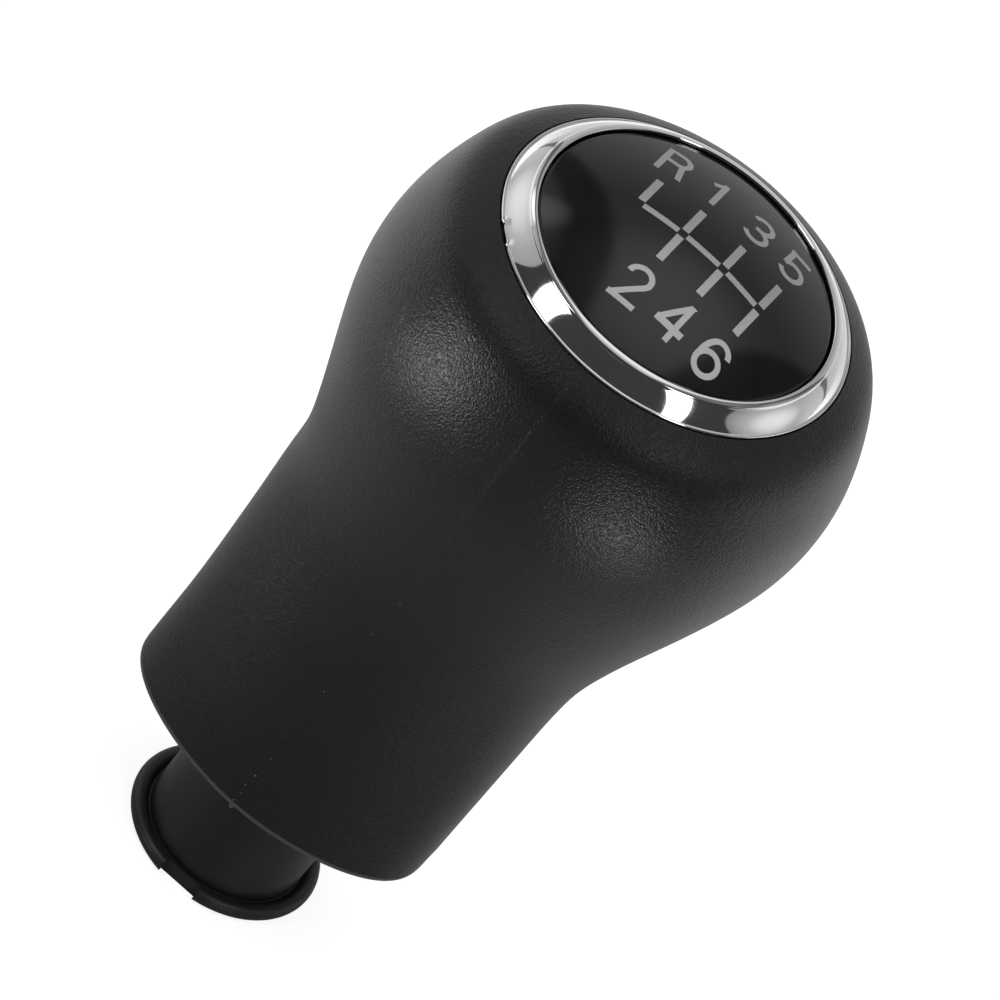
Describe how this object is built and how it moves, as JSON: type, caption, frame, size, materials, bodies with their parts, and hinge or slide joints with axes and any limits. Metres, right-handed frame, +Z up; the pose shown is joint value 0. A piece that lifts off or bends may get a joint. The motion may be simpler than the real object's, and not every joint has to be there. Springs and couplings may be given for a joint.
{
  "type": "gear shift knob",
  "caption": "Pear-shaped gear shift knob with a soft grip, chrome ring, domed gloss cap and a flanged gaiter sleeve below its oval skirt.",
  "frame": {"origin": "centre of the lever bore's mouth, on the underside of the sleeve's flange", "axes": "+Z up the lever towards the cap, -Y towards the driver, +X to the driver's right"},
  "size_m": [0.0516, 0.0491, 0.0975],
  "materials": {
    "soft_grip": "satin soft-touch moulding with a fine leather-like grain",
    "core_plastic": "plain moulded",
    "sleeve_plastic": "satin moulded",
    "bush_nylon": "natural nylon",
    "spring_steel": "bright drawn wire",
    "gloss_cap": "polished",
    "chrome_trim": "bright plated"
  },
  "bodies": {
    "root": {"grip_shell": "soft_grip", "core_carrier": "core_plastic", "gaiter_sleeve": "sleeve_plastic", "lever_bush": "bush_nylon", "retaining_clip": "spring_steel", "cap_base": "core_plastic", "shift_cap": "gloss_cap", "trim_ring": "chrome_trim"}
  },
  "joints": []
}
